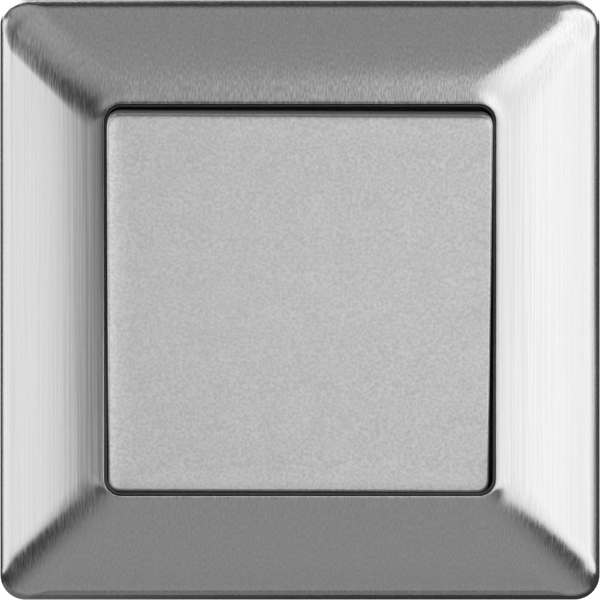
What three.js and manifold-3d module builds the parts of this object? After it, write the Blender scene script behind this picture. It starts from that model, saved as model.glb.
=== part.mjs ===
// A flush rocker wall switch: a brushed steel cover frame on a plastic carrier, a large square rocker,
// and behind them the changeover mechanism on its steel support yoke, with claws and push-in terminals.
// Millimetres. +X is to the right, +Z is up and +Y goes into the wall. The wall's surface is y = 0.

import * as THREE from "three";
import { mergeVertices } from "three/addons/utils/BufferGeometryUtils.js";
import Module from "manifold-3d";

const wasm = await Module();
wasm.setup();

// ---- Driving dimensions -------------------------------------------------------------------------

const GAP = 0.3; // running gap between neighbouring pieces

const COVER = { size: 86, corner: 3.6, depth: 11, rim: 5.2, sheet: 0.7 };
const OPENING = { size: 55.4, corner: 2.4, lip: 2.0 }; // the cover frame's square opening
const LIP = { size: 54.7, corner: 2.0, front: -10.65 }; // the carrier's lip, which shows inside the opening

const PIVOT_Y = -2.2; // the rocker's axis, parallel to X, through z = 0
const ROCKER_TILT = 4.5; // degrees: at rest the rocker's top edge stands proud
const ROCKER = { width: 54.1, height: 53, reach: 9.8, depth: 7.8, corner: 1.65, wall: 1.5 };
const ROCKER_DRAFT = { side: 1, end: 4 }; // degrees

const YOKE = { size: 71, corner: 3, sheet: 1.0, flange: 3.4, flangeHalf: 22 };
const YOKE_WINDOW = { width: 38.4, height: 29.2, corner: 1.5 };
const BOX_SCREW_SPACING = 60;
const KEYHOLE = { length: 9, width: 3.8, head: 3.1, headX: 4.2, headOut: 1.3 };

const HOUSING = { size: 41, corner: 2.5, front: 2.1, back: 23.5, wall: 1.7 };
const LID = { front: GAP, back: 1.8, windowWidth: 10, windowHeight: 11 };
const HOUSING_SCREW = { at: 17.3, head: 2.2, headHeight: 1.4, shank: 1.1, hole: 1.4, tip: 10, pillar: 2.9 };

const BLADE = { y: 10, tilt: 7, half: 12.2, width: 6, sheet: 0.8 };
const CONTACT_AT = 10.5; // the contact tips' distance above and below the blade's pivot
const STRIP = { y: 13.4, sheet: 0.8, width: 5 };

const CLAW = { pivotX: 21.3, pivotY: 6, footEnd: 28.6, tail: 19, sheet: 1.2, width: 8, tooth: 1.6 };
const CLAW_SCREW = { x: 24.5, head: 2.8, headHeight: 2, shank: 1.5, hole: 1.9, tip: 9.5 };

// ---- Materials ----------------------------------------------------------------------------------

const finish = (color, roughness, metalness) =>
  new THREE.MeshStandardMaterial({ color, roughness, metalness });
const brushedSteel = finish(0xa9a9a9, 0.35, 1);
const blackPlastic = finish(0x1c1c1d, 0.5, 0);
const silverPaint = finish(0xb7b7b8, 0.45, 0.3);
const whitePlastic = finish(0xe8e6df, 0.5, 0);
const greyPlastic = finish(0x8d9194, 0.55, 0);
const leverPlastic = finish(0xd9772b, 0.5, 0);
const zincSteel = finish(0xb9bcc0, 0.4, 1);
const springSteel = finish(0x9da0a3, 0.3, 1);
const brass = finish(0xc9a55a, 0.35, 1);
const silver = finish(0xd8d8d4, 0.3, 1);

// ---- Shape tools --------------------------------------------------------------------------------

const radians = THREE.MathUtils.degToRad;

// A closed geometry as a solid that can be cut and joined.
function solid(geometry) {
  const bare = geometry.clone();
  bare.deleteAttribute("normal");
  bare.deleteAttribute("uv");
  const merged = mergeVertices(bare, 1e-4);
  return new wasm.Manifold(
    new wasm.Mesh({
      numProp: 3,
      vertProperties: merged.attributes.position.array,
      triVerts: new Uint32Array(merged.index.array),
    }),
  );
}

function geometryOf(body) {
  const { vertProperties, triVerts } = body.getMesh();
  const geometry = new THREE.BufferGeometry();
  geometry.setAttribute("position", new THREE.BufferAttribute(new Float32Array(vertProperties), 3));
  geometry.setIndex(new THREE.BufferAttribute(new Uint32Array(triVerts), 1));
  const flat = geometry.toNonIndexed();
  flat.computeVertexNormals();
  return flat;
}

function piece(name, body, material) {
  const mesh = new THREE.Mesh(geometryOf(body), material);
  mesh.name = name;
  return mesh;
}

const join = (...bodies) => bodies.reduce((all, body) => all.add(body));
const cut = (body, ...tools) => tools.reduce((rest, tool) => rest.subtract(tool), body);

function box(x0, x1, y0, y1, z0, z1) {
  const geometry = new THREE.BoxGeometry(x1 - x0, y1 - y0, z1 - z0);
  geometry.translate((x0 + x1) / 2, (y0 + y1) / 2, (z0 + z1) / 2);
  return solid(geometry);
}

// A round bar along Y, at x and z.
function barY(radius, y0, y1, x = 0, z = 0, sides = 24) {
  const geometry = new THREE.CylinderGeometry(radius, radius, y1 - y0, sides);
  geometry.translate(x, (y0 + y1) / 2, z);
  return solid(geometry);
}

// A round bar along X, at y and z.
function barX(radius, x0, x1, y = 0, z = 0, sides = 24) {
  const geometry = new THREE.CylinderGeometry(radius, radius, x1 - x0, sides);
  geometry.rotateZ(Math.PI / 2);
  geometry.translate((x0 + x1) / 2, y, z);
  return solid(geometry);
}

function outline(points) {
  return new THREE.Shape(points.map(([x, y]) => new THREE.Vector2(x, y)));
}

function roundedRectangle(width, height, corner) {
  const x = width / 2 - corner;
  const y = height / 2 - corner;
  const shape = new THREE.Shape();
  shape.absarc(x, y, corner, 0, Math.PI / 2);
  shape.absarc(-x, y, corner, Math.PI / 2, Math.PI);
  shape.absarc(-x, -y, corner, Math.PI, 1.5 * Math.PI);
  shape.absarc(x, -y, corner, 1.5 * Math.PI, 2 * Math.PI);
  return shape;
}

const extruded = (shape, depth) =>
  new THREE.ExtrudeGeometry(shape, { depth, bevelEnabled: false, curveSegments: 6 });

// A shape drawn in X and Z, as thick as y0 to y1.
function slabY(shape, y0, y1) {
  const geometry = extruded(shape, y1 - y0);
  geometry.rotateX(Math.PI / 2);
  geometry.translate(0, y1, 0);
  return solid(geometry);
}

// A shape drawn in Y and Z, as wide as x0 to x1.
function slabX(shape, x0, x1) {
  const geometry = extruded(shape, x1 - x0);
  const turn = new THREE.Matrix4().makeBasis(
    new THREE.Vector3(0, 1, 0),
    new THREE.Vector3(0, 0, 1),
    new THREE.Vector3(1, 0, 0),
  );
  geometry.applyMatrix4(turn);
  geometry.translate(x0, 0, 0);
  return solid(geometry);
}

// A shape drawn in X and Y, as high as z0 to z1.
function slabZ(shape, z0, z1) {
  const geometry = extruded(shape, z1 - z0);
  geometry.translate(0, 0, z0);
  return solid(geometry);
}

// One rounded rectangle of points in X and Z at depth y, counter-clockwise seen from the front.
function ring({ halfX, halfZ, corner, y }, arcSteps = 6) {
  const centres = [[1, 1], [-1, 1], [-1, -1], [1, -1]];
  return centres.flatMap(([sx, sz], quarter) =>
    Array.from({ length: arcSteps + 1 }, (_, step) => {
      const angle = (quarter + step / arcSteps) * (Math.PI / 2);
      const x = sx * (halfX - corner) + corner * Math.cos(angle);
      const z = sz * (halfZ - corner) + corner * Math.sin(angle);
      return new THREE.Vector3(x, y, z);
    }),
  );
}

// A skin through rings of equal length. It closes on itself, as a frame does, or gets a cap at each end.
// The rings may run from front to back or from back to front, so a skin that faces inwards is turned.
function loft(sections, closesOnItself) {
  const rings = sections.map((section) => ring(section));
  const count = rings[0].length;
  const points = rings.flat();
  const faces = [];
  const bands = closesOnItself ? rings.length : rings.length - 1;
  for (let band = 0; band < bands; band += 1) {
    const here = band * count;
    const next = ((band + 1) % rings.length) * count;
    for (let i = 0; i < count; i += 1) {
      const j = (i + 1) % count;
      faces.push(here + i, next + j, here + j);
      faces.push(here + i, next + i, next + j);
    }
  }
  if (!closesOnItself) {
    const last = (rings.length - 1) * count;
    for (let i = 1; i < count - 1; i += 1) {
      faces.push(0, i, i + 1);
      faces.push(last, last + i + 1, last + i);
    }
  }
  const geometry = new THREE.BufferGeometry().setFromPoints(points);
  geometry.setIndex(faces);
  const body = solid(geometry);
  if (body.volume() > 0) {
    return body;
  }
  geometry.setIndex(faces.reverse());
  return solid(geometry);
}

// ---- Cover frame --------------------------------------------------------------------------------

// The rail's front, from the rim's edge at 0 to the opening's lip at 1, rises in a gentle convex curve.
const RAIL_STEPS = 6;
function railFront(inset) {
  const across = COVER.size / 2 - 1 + inset * (OPENING.size / 2 + 1 - (COVER.size / 2 - 1));
  const rise = Math.sin(inset * radians(68)) / Math.sin(radians(68));
  const y = -(COVER.rim + 0.7) - rise * (COVER.depth - COVER.rim - 0.7);
  const corner = COVER.corner + inset * (OPENING.corner + 1 - COVER.corner);
  return { half: across, y, corner };
}

const square = ({ half, y, corner }) => ({ halfX: half, halfZ: half, corner, y });

function coverProfile() {
  const edge = COVER.size / 2;
  const lip = OPENING.size / 2;
  const steps = Array.from({ length: RAIL_STEPS + 1 }, (_, i) => railFront(i / RAIL_STEPS));
  const front = [
    { half: edge, y: -GAP, corner: COVER.corner },
    { half: edge, y: -COVER.rim + 0.4, corner: COVER.corner },
    { half: edge - 0.3, y: -COVER.rim - 0.3, corner: COVER.corner - 0.2 },
    ...steps,
    { half: lip + 0.4, y: -COVER.depth + 0.1, corner: OPENING.corner + 0.4 },
    { half: lip, y: -COVER.depth + 0.6, corner: OPENING.corner },
    { half: lip, y: -COVER.depth + OPENING.lip, corner: OPENING.corner },
  ];
  const under = steps.slice(1).map(({ half, y, corner }) => ({
    half: half + 0.1,
    y: y + COVER.sheet,
    corner,
  }));
  const back = [
    { half: lip + COVER.sheet, y: -COVER.depth + OPENING.lip, corner: OPENING.corner + 0.7 },
    ...under.reverse(),
    { half: edge - COVER.sheet, y: -COVER.rim + 0.2, corner: COVER.corner - 0.7 },
    { half: edge - COVER.sheet, y: -GAP, corner: COVER.corner - 0.7 },
  ];
  return [...front, ...back].map(square);
}

const coverFrame = loft(coverProfile(), true);

// The carrier lines the steel skin. It stands on the wall, its lip edges the opening round the rocker,
// and a flange at the foot of its inner wall hides the yoke.
const CARRIER_WALL = 1.5;
const CARRIER_OUTER = COVER.size / 2 - COVER.sheet - GAP;
const CARRIER_INNER = LIP.size / 2 + 0.45;
const FLANGE = { inner: 24, front: -YOKE.sheet - 0.75, back: -YOKE.sheet - 0.15 };

function carrierProfile() {
  const skinGap = COVER.sheet + GAP + 0.15;
  const steps = [0.12, 0.35, 0.6, 0.85].map((inset) => railFront(inset));
  const top = steps.map(({ half, y, corner }) => ({ half, y: y + skinGap, corner }));
  const under = [...top].reverse().map(({ half, y, corner }) => ({
    half: half - 0.2,
    y: y + CARRIER_WALL,
    corner,
  }));
  const lipBack = -COVER.depth + OPENING.lip + GAP;
  const skinFoot = OPENING.size / 2 + COVER.sheet + GAP;
  const lipOuter = OPENING.size / 2 - 0.1;
  return [
    { half: CARRIER_OUTER, y: 0, corner: COVER.corner - 1 },
    { half: CARRIER_OUTER, y: -COVER.rim + 0.9, corner: COVER.corner - 1 },
    ...top,
    { half: skinFoot, y: -COVER.depth + 1.5, corner: OPENING.corner + 1 },
    { half: skinFoot, y: lipBack, corner: OPENING.corner + 1 },
    { half: lipOuter, y: lipBack, corner: OPENING.corner - 0.1 },
    { half: lipOuter, y: LIP.front, corner: OPENING.corner - 0.1 },
    { half: LIP.size / 2, y: LIP.front, corner: LIP.corner },
    { half: LIP.size / 2, y: lipBack + 0.4, corner: LIP.corner },
    { half: CARRIER_INNER, y: lipBack + 0.9, corner: LIP.corner + 0.3 },
    { half: CARRIER_INNER, y: FLANGE.back, corner: LIP.corner + 0.3 },
    { half: CARRIER_INNER + CARRIER_WALL, y: FLANGE.back, corner: OPENING.corner + 1 },
    { half: CARRIER_INNER + CARRIER_WALL, y: under[0].y, corner: OPENING.corner + 1 },
    ...under,
    { half: CARRIER_OUTER - CARRIER_WALL, y: -COVER.rim + 2, corner: COVER.corner - 2 },
    { half: CARRIER_OUTER - CARRIER_WALL, y: 0, corner: COVER.corner - 2 },
  ].map(square);
}

// Four snap tongues reach back from the carrier and grip the yoke's flanges.
const TONGUE = { width: 10, thick: 1.3, gap: 0.45, at: 13, root: -6.6, tip: -0.8 };
const TONGUE_CATCH = { front: -2.6, peak: -1.8, proud: 0.25 };
function snapTongue(side, z) {
  const inner = YOKE.size / 2 + TONGUE.gap + 0.1;
  const outer = YOKE.size / 2 + TONGUE.gap + TONGUE.thick;
  const profile = outline([
    [inner, TONGUE.root],
    [outer, TONGUE.root],
    [outer, TONGUE.tip],
    [inner + 0.1, TONGUE.tip],
    [inner - TONGUE_CATCH.proud, TONGUE_CATCH.peak],
    [inner, TONGUE_CATCH.front],
  ]);
  const tongue = slabZ(profile, z - TONGUE.width / 2, z + TONGUE.width / 2);
  return side > 0 ? tongue : tongue.mirror([1, 0, 0]);
}

// The flange leaves room round the heads of the claw screws.
function carrierFlange() {
  const { inner, front, back } = FLANGE;
  const outer = 2 * CARRIER_INNER + 1;
  const headRoomX = CARRIER_INNER - 0.4;
  const headRoomZ = CLAW_SCREW.head + 0.6;
  return cut(
    slabY(roundedRectangle(outer, outer, OPENING.corner), front, back),
    slabY(roundedRectangle(2 * inner, 2 * inner, 2), front - 1, back + 1),
    box(-headRoomX, headRoomX, front - 1, back + 1, -headRoomZ, headRoomZ),
  );
}

const frameCarrier = join(
  loft(carrierProfile(), true),
  carrierFlange(),
  ...[1, -1].flatMap((side) => [TONGUE.at, -TONGUE.at].map((z) => snapTongue(side, z))),
);

// ---- Rocker and cradle --------------------------------------------------------------------------
// Both are drawn square to the pivot axis, which is their own origin, and tilted as a group.

const FACE_Y = -ROCKER.reach;
const SKIRT_Y = FACE_Y + ROCKER.depth;
const CEILING_Y = FACE_Y + ROCKER.wall;

function rockerSection(depth, inset, corner) {
  return {
    halfX: ROCKER.width / 2 + depth * Math.tan(radians(ROCKER_DRAFT.side)) - inset,
    halfZ: ROCKER.height / 2 + depth * Math.tan(radians(ROCKER_DRAFT.end)) - inset,
    corner,
    y: FACE_Y + depth,
  };
}

// Clip legs under the rocker's face snap through the cradle's slots.
const CLIP = { x: 9, z: 12, width: 4, thick: 1.3, hook: 0.9 };
const CRADLE = { width: 30, height: 32, front: -7.6, back: -5.8, cheek: 2, webBack: -2 };

function clipLeg(sx, sz) {
  const z = sz * CLIP.z;
  const leg = outline([
    [CEILING_Y - 0.3, z - sz * CLIP.thick],
    [CEILING_Y - 0.3, z],
    [CRADLE.back + 0.35, z],
    [CRADLE.back + 0.35, z + sz * CLIP.hook],
    [CRADLE.back + 1.4, z],
    [CRADLE.back + 1.4, z - sz * CLIP.thick],
  ]);
  const x = sx * CLIP.x;
  return slabX(leg, x - CLIP.width / 2, x + CLIP.width / 2);
}

const corners = [[1, 1], [-1, 1], [-1, -1], [1, -1]];
const rockerShell = loft(
  [
    rockerSection(ROCKER.wall, ROCKER.wall, 0.6),
    rockerSection(ROCKER.depth, ROCKER.wall, 0.6),
    rockerSection(ROCKER.depth, 0, ROCKER.corner),
    rockerSection(0.5, 0, ROCKER.corner),
    rockerSection(0.15, 0.15, ROCKER.corner - 0.1),
    rockerSection(0, 0.5, ROCKER.corner - 0.4),
  ],
  false,
);
const RIB = { at: 19, halfThick: 0.5, height: 1.6, endGap: 1 };
const rockerRibs = [RIB.at, -RIB.at].flatMap((at) => {
  const [front, back] = [CEILING_Y - 0.2, CEILING_Y + RIB.height];
  const halfX = ROCKER.width / 2 - RIB.endGap;
  const halfZ = ROCKER.height / 2 - RIB.endGap;
  return [
    box(-halfX, halfX, front, back, at - RIB.halfThick, at + RIB.halfThick),
    box(at - RIB.halfThick, at + RIB.halfThick, front, back, -halfZ, halfZ),
  ];
});
const rocker = join(rockerShell, ...rockerRibs, ...corners.map(([sx, sz]) => clipLeg(sx, sz)));

// The cradle is the working lever: a plate with two cheeks, a trunnion on each, and the plunger's tube.
const TRUNNION = { radius: 2, inner: 15, outer: 18.3 };
const TUBE = { radius: 3.7, bore: 2.6, back: 6.8, ceiling: -4.8 };

const CHEEK = { halfTop: 11, waistY: 0.6, halfWaist: 3.2, endY: 2.2, halfEnd: 1.4 };

function cradleCheek(side) {
  const cheek = outline([
    [CRADLE.back - 0.5, -CHEEK.halfTop],
    [CRADLE.back - 0.5, CHEEK.halfTop],
    [CHEEK.waistY, CHEEK.halfWaist],
    [CHEEK.endY, CHEEK.halfEnd],
    [CHEEK.endY, -CHEEK.halfEnd],
    [CHEEK.waistY, -CHEEK.halfWaist],
  ]);
  const inner = TRUNNION.inner - CRADLE.cheek;
  return side > 0 ? slabX(cheek, inner, TRUNNION.inner) : slabX(cheek, -TRUNNION.inner, -inner);
}

const cradlePlate = slabY(
  roundedRectangle(CRADLE.width, CRADLE.height, 2),
  CRADLE.front,
  CRADLE.back,
);
const clipSlots = corners.map(([sx, sz]) => {
  const [x, z] = [sx * CLIP.x, sz * (CLIP.z - CLIP.thick / 2)];
  const [w, h] = [CLIP.width / 2 + 0.35, CLIP.thick / 2 + 0.35];
  return box(x - w, x + w, CRADLE.front - 1, CRADLE.back + 1, z - h, z + h);
});
const cradle = cut(
  join(
    cradlePlate,
    cradleCheek(1),
    cradleCheek(-1),
    barX(TRUNNION.radius, TRUNNION.inner - 0.5, TRUNNION.outer),
    barX(TRUNNION.radius, -TRUNNION.outer, -TRUNNION.inner + 0.5),
    barY(TUBE.radius, CRADLE.back - 0.5, TUBE.back),
    box(-TRUNNION.inner + 1, TRUNNION.inner - 1, CRADLE.back - 0.5, CRADLE.webBack, -0.8, 0.8),
  ),
  barY(TUBE.bore, TUBE.ceiling, TUBE.back + 1),
  ...clipSlots,
);

// The plunger slides in the tube, pushed back by its spring, and its round nose runs along the blade.
const PLUNGER = { radius: 2.3, front: 3.6, nose: 11.72 };
function plungerBody() {
  const straight = PLUNGER.nose - PLUNGER.radius;
  const profile = [[0, PLUNGER.front], [PLUNGER.radius, PLUNGER.front]];
  for (let step = 0; step <= 6; step += 1) {
    const angle = (step / 6) * (Math.PI / 2);
    profile.push([PLUNGER.radius * Math.cos(angle), straight + PLUNGER.radius * Math.sin(angle)]);
  }
  profile[profile.length - 1][0] = 0;
  const geometry = new THREE.LatheGeometry(outline(profile).getPoints(), 24);
  return solid(geometry);
}

const SPRING = { radius: 1.95, wire: 0.28, turns: 7, front: TUBE.ceiling + 0.7, back: PLUNGER.front - 0.7 };
class Helix extends THREE.Curve {
  getPoint(t, target = new THREE.Vector3()) {
    const angle = t * SPRING.turns * 2 * Math.PI;
    const y = SPRING.front + t * (SPRING.back - SPRING.front);
    return target.set(SPRING.radius * Math.cos(angle), y, SPRING.radius * Math.sin(angle));
  }
}

// A round wire along a curve, closed at both ends.
function wireAlong(curve, radius, steps, sides = 6) {
  const section = new THREE.Shape();
  for (let i = 0; i < sides; i += 1) {
    const angle = (i / sides) * 2 * Math.PI;
    const point = [radius * Math.cos(angle), radius * Math.sin(angle)];
    if (i === 0) {
      section.moveTo(...point);
    } else {
      section.lineTo(...point);
    }
  }
  return solid(new THREE.ExtrudeGeometry(section, { steps, extrudePath: curve, bevelEnabled: false }));
}

const rockerGroup = new THREE.Group();
rockerGroup.position.set(0, PIVOT_Y, 0);
rockerGroup.rotation.x = radians(ROCKER_TILT);
rockerGroup.add(
  piece("rocker", rocker, silverPaint),
  piece("rocker_cradle", cradle, whitePlastic),
  piece("plunger", plungerBody(), greyPlastic),
  piece("plunger_spring", wireAlong(new Helix(), SPRING.wire, SPRING.turns * 12), springSteel),
);

// ---- Support yoke -------------------------------------------------------------------------------

// A keyhole slot: the screw's head passes the round end, and the yoke turns under it.
function boxScrewSlot(turnDegrees) {
  const { length, width, head, headX, headOut } = KEYHOLE;
  const slot = join(
    slabY(roundedRectangle(length, width, width / 2 - 0.01), -YOKE.sheet - 1, 1),
    barY(head, -YOKE.sheet - 1, 1, headX, headOut, 20),
  );
  return slot.translate([0, 0, BOX_SCREW_SPACING / 2]).rotate([0, turnDegrees, 0]);
}

// Round the wall box the yoke's rear is pressed in a little, so that only its border touches the wall.
const WALL_RELIEF = { radius: 31, depth: 0.25 };

function yokeFlange(side) {
  const edge = YOKE.size / 2;
  const [x0, x1] = side > 0 ? [edge - YOKE.sheet, edge] : [-edge, -edge + YOKE.sheet];
  return box(x0, x1, -YOKE.flange, -YOKE.sheet / 2, -YOKE.flangeHalf, YOKE.flangeHalf);
}

const housingScrewPlaces = corners.map(([sx, sz]) => [sx * HOUSING_SCREW.at, sz * HOUSING_SCREW.at]);
const screwHoles = (radius, y0, y1) =>
  housingScrewPlaces.map(([x, z]) => barY(radius, y0, y1, x, z, 16));

const yoke = cut(
  join(
    slabY(roundedRectangle(YOKE.size, YOKE.size, YOKE.corner), -YOKE.sheet, 0),
    yokeFlange(1),
    yokeFlange(-1),
  ),
  slabY(
    roundedRectangle(YOKE_WINDOW.width, YOKE_WINDOW.height, YOKE_WINDOW.corner),
    -YOKE.sheet - 1,
    1,
  ),
  barY(WALL_RELIEF.radius, -WALL_RELIEF.depth, 1, 0, 0, 64),
  ...[0, 90, 180, 270].map(boxScrewSlot),
  ...screwHoles(HOUSING_SCREW.hole + 0.1, -YOKE.sheet - 1, 1),
  barY(CLAW_SCREW.hole, -YOKE.sheet - 1, 1, CLAW_SCREW.x, 0, 20),
  barY(CLAW_SCREW.hole, -YOKE.sheet - 1, 1, -CLAW_SCREW.x, 0, 20),
);

// ---- Mechanism housing --------------------------------------------------------------------------

// The lid closes the housing's front and carries the two bearing posts of the rocker.
const POST = { inner: 15.3, outer: 18.8, halfZ: 4.2, front: -5, neck: 1.75, mouth: 2.6 };
function bearingPost(side) {
  const [x0, x1] = side > 0 ? [POST.inner, POST.outer] : [-POST.outer, -POST.inner];
  const post = box(x0, x1, POST.front, LID.front + 0.5, -POST.halfZ, POST.halfZ);
  const bore = barX(TRUNNION.radius + GAP, x0 - 1, x1 + 1, PIVOT_Y, 0);
  const mouth = outline([
    [PIVOT_Y, -POST.neck],
    [PIVOT_Y, POST.neck],
    [POST.front - 1, POST.mouth],
    [POST.front - 1, -POST.mouth],
  ]);
  return cut(post, bore, slabX(mouth, x0 - 1, x1 + 1));
}

const housingOutline = roundedRectangle(HOUSING.size, HOUSING.size, HOUSING.corner);
const housingLid = cut(
  join(slabY(housingOutline, LID.front, LID.back), bearingPost(1), bearingPost(-1)),
  slabY(roundedRectangle(LID.windowWidth, LID.windowHeight, 2), LID.front - 1, LID.back + 1),
  ...screwHoles(HOUSING_SCREW.hole, LID.front - 1, LID.back + 1),
);

// One terminal is drawn at the right, at z = 0, and placed three times.
const TERMINAL = { wireX: 14.9, leverX: 11.6, clampX: 9.2, barX: 17.2, back: 20.8 };
const WIRE_ENTRY = { radius: 1.5, mouth: 2.3 };
const PILLAR = { inner: -2, outer: 7, halfZ: 2 };
const LEVER = { halfX: 1.1, halfZ: 1.8, front: 18.3, back: 24.6, flange: 20.5 };
const terminalPlaces = {
  common: { z: 0, turned: true },
  upper: { z: CONTACT_AT, turned: false },
  lower: { z: -CONTACT_AT, turned: false },
};
const placed = (body, { z, turned }) => (turned ? body.rotate([0, 180, 0]) : body).translate([0, 0, z]);

const rearHoles = Object.values(terminalPlaces).flatMap((place) => {
  const { back } = HOUSING;
  const wireEntry = join(
    barY(WIRE_ENTRY.radius, back - 4, back + 1, TERMINAL.wireX, 0, 20),
    solid(
      new THREE.CylinderGeometry(WIRE_ENTRY.mouth, WIRE_ENTRY.radius, 1, 20)
        .translate(TERMINAL.wireX, back - 0.4, 0),
    ),
  );
  const [x, w, h] = [TERMINAL.leverX, LEVER.halfX + 0.35, LEVER.halfZ + 0.35];
  return [placed(wireEntry, place), placed(box(x - w, x + w, back - 4, back + 1, -h, h), place)];
});

// Pillars on the rear wall carry the contact strips.
const pillars = Object.values(terminalPlaces).map((place) => {
  const { inner, outer, halfZ } = PILLAR;
  const front = STRIP.y + STRIP.sheet + 0.1;
  return placed(box(inner, outer, front, HOUSING.back - 1, -halfZ, halfZ), place);
});
const housingInside = HOUSING.size - 2 * HOUSING.wall;
const housingBase = cut(
  join(
    cut(
      slabY(housingOutline, HOUSING.front, HOUSING.back),
      slabY(
        roundedRectangle(housingInside, housingInside, 1),
        HOUSING.front - 1,
        HOUSING.back - HOUSING.wall,
      ),
    ),
    ...housingScrewPlaces.map(([x, z]) =>
      barY(HOUSING_SCREW.pillar, HOUSING.front, HOUSING.back - 1, x, z, 20),
    ),
    ...pillars,
  ),
  ...screwHoles(HOUSING_SCREW.hole, HOUSING.front - 1, HOUSING_SCREW.tip + 0.5),
  ...rearHoles,
);

// A pan-head screw with a cross recess, its head's underside at y = under.
function panScrew({ x, z, head, headHeight, shank, under, tip }) {
  const sides = 20;
  const halfSlot = 0.4;
  const blank = join(
    barY(head, under - headHeight, under, x, z, sides),
    barY(shank, under - 0.1, tip, x, z, sides),
  );
  const [front, bottom] = [under - headHeight - 1, under - headHeight * 0.45];
  const slot = box(x - head, x + head, front, bottom, z - halfSlot, z + halfSlot);
  const cross = box(x - halfSlot, x + halfSlot, front, bottom, z - head, z + head);
  return cut(blank, slot, cross);
}

const screwNames = ["upper_right", "upper_left", "lower_left", "lower_right"];
const housingScrews = housingScrewPlaces.map(([x, z], i) =>
  piece(
    `housing_screw_${screwNames[i]}`,
    panScrew({ ...HOUSING_SCREW, x, z, under: -YOKE.sheet - 0.05 }),
    zincSteel,
  ),
);

// ---- Contacts and terminals ---------------------------------------------------------------------

// Each strip carries a contact at one end, and its other end turns back to form the terminal's wall.
function contactStrip(reach) {
  const { y, sheet, width } = STRIP;
  const profile = outline([
    [-reach, y],
    [TERMINAL.barX + sheet, y],
    [TERMINAL.barX + sheet, TERMINAL.back],
    [TERMINAL.barX, TERMINAL.back],
    [TERMINAL.barX, y + sheet],
    [-reach, y + sheet],
  ]);
  return slabZ(profile, -width / 2, width / 2);
}

// The common strip's upright saddle is the knife edge on which the blade rocks.
const SADDLE = { top: BLADE.y + BLADE.sheet / 2 + GAP, halfWidth: 2.4, halfFoot: 1.1, halfEdge: 0.5 };
const saddle = slabX(
  outline([
    [STRIP.y + 0.2, -SADDLE.halfFoot],
    [STRIP.y + 0.2, SADDLE.halfFoot],
    [SADDLE.top + SADDLE.halfEdge, SADDLE.halfEdge],
    [SADDLE.top, 0],
    [SADDLE.top + SADDLE.halfEdge, -SADDLE.halfEdge],
  ]),
  -SADDLE.halfWidth,
  SADDLE.halfWidth,
);

// A leaf of spring steel: one leg stands in the housing, the other presses the wire on to the strip.
const CLAMP = { sheet: 0.4, fold: 14.6, tipX: 16.4, tipY: 18.4, halfWidth: 2.1 };
function clampSpring() {
  const { sheet, fold, tipX, tipY, halfWidth } = CLAMP;
  const x = TERMINAL.clampX;
  const profile = outline([
    [x, TERMINAL.back],
    [x, fold + 0.5],
    [x + 0.4, fold],
    [x + 1.2, fold],
    [tipX, tipY],
    [tipX - 0.3, tipY + sheet],
    [x + 1.1, fold + sheet],
    [x + 0.6, fold + sheet],
    [x + sheet, fold + 0.7],
    [x + sheet, TERMINAL.back],
  ]);
  return slabZ(profile, -halfWidth, halfWidth);
}

// Pressed from behind, the lever pushes the clamp's leg off the wire.
function releaseLever() {
  const { leverX: x } = TERMINAL;
  const { halfX, halfZ, front, back, flange } = LEVER;
  return join(
    box(x - halfX, x + halfX, front, back, -halfZ, halfZ),
    box(x - halfX - 0.5, x + halfX + 0.5, flange, flange + 0.8, -halfZ - 0.5, halfZ + 0.5),
  );
}

const TIP = { radius: 1.5, height: 0.6 };
const fixedTip = (z) => barY(TIP.radius, STRIP.y - TIP.height - 0.03, STRIP.y - 0.03, 0, z, 20);

const terminals = [
  piece(
    "common_strip",
    placed(join(contactStrip(SADDLE.halfWidth), saddle), terminalPlaces.common),
    brass,
  ),
  piece("upper_contact_strip", placed(contactStrip(3), terminalPlaces.upper), brass),
  piece("lower_contact_strip", placed(contactStrip(3), terminalPlaces.lower), brass),
  piece("upper_fixed_tip", fixedTip(CONTACT_AT), silver),
  piece("lower_fixed_tip", fixedTip(-CONTACT_AT), silver),
  ...Object.entries(terminalPlaces).flatMap(([name, place]) => [
    piece(`${name}_clamp_spring`, placed(clampSpring(), place), springSteel),
    piece(`${name}_release_lever`, placed(releaseLever(), place), leverPlastic),
  ]),
];

// The blade rocks on the saddle. It is drawn level about its pivot and tilted as a group.
const HOLLOW = 0.5; // the blade is a shallow trough, so the plunger's nose settles at either end
const FLAT = 3.5; // half the length of the trough's flat bottom
const HALF_SHEET = BLADE.sheet / 2;
const bladeSide = outline([
  [-HALF_SHEET - HOLLOW, -BLADE.half],
  [HALF_SHEET - HOLLOW, -BLADE.half],
  [HALF_SHEET, -FLAT],
  [HALF_SHEET, FLAT],
  [HALF_SHEET - HOLLOW, BLADE.half],
  [-HALF_SHEET - HOLLOW, BLADE.half],
  [-HALF_SHEET, FLAT],
  [-HALF_SHEET, -FLAT],
]);
const movingTip = (z) => barY(TIP.radius, HALF_SHEET + 0.05, HALF_SHEET + 0.05 + TIP.height, 0, z, 20);
const bladeGroup = new THREE.Group();
bladeGroup.position.set(0, BLADE.y, 0);
bladeGroup.rotation.x = radians(-BLADE.tilt);
bladeGroup.add(
  piece("contact_blade", slabX(bladeSide, -BLADE.width / 2, BLADE.width / 2), brass),
  piece("upper_moving_tip", movingTip(CONTACT_AT), silver),
  piece("lower_moving_tip", movingTip(-CONTACT_AT), silver),
);

// ---- Claws --------------------------------------------------------------------------------------

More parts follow.
